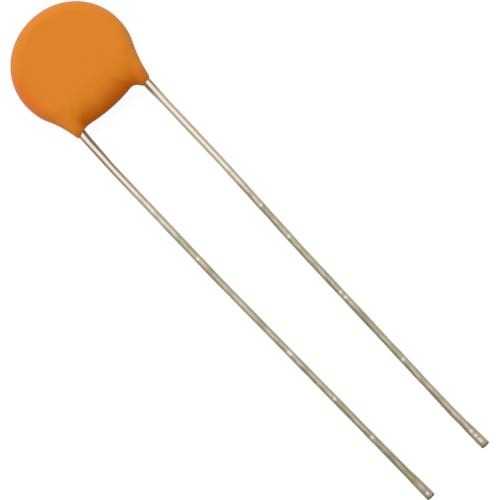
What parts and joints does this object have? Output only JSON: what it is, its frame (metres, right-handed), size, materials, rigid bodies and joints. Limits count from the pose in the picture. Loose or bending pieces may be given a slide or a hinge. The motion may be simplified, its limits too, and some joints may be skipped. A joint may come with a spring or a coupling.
{
  "type": "ceramic disc capacitor",
  "caption": "Dipped ceramic disc capacitor: flat round orange resin body that runs out into legs along long, slightly wavy tinned wire leads, lying on its flat rear face.",
  "frame": {"origin": "centre of the ceramic disc, on the flat rear face that the body rests on", "axes": "+Z out of the front face along the disc's axis, -Y along the leads towards their tips, +X towards the right lead"},
  "size_m": [0.0098, 0.0474, 0.003],
  "materials": {
    "coating": "satin",
    "ceramic": "matte",
    "silver": "satin",
    "solder": "satin",
    "tinned_wire": "satin"
  },
  "bodies": {
    "root": {"coating": "coating", "ceramic_disc": "ceramic", "front_electrode": "silver", "rear_electrode": "silver", "front_solder": "solder", "rear_solder": "solder", "left_lead": "tinned_wire", "right_lead": "tinned_wire"}
  },
  "joints": []
}
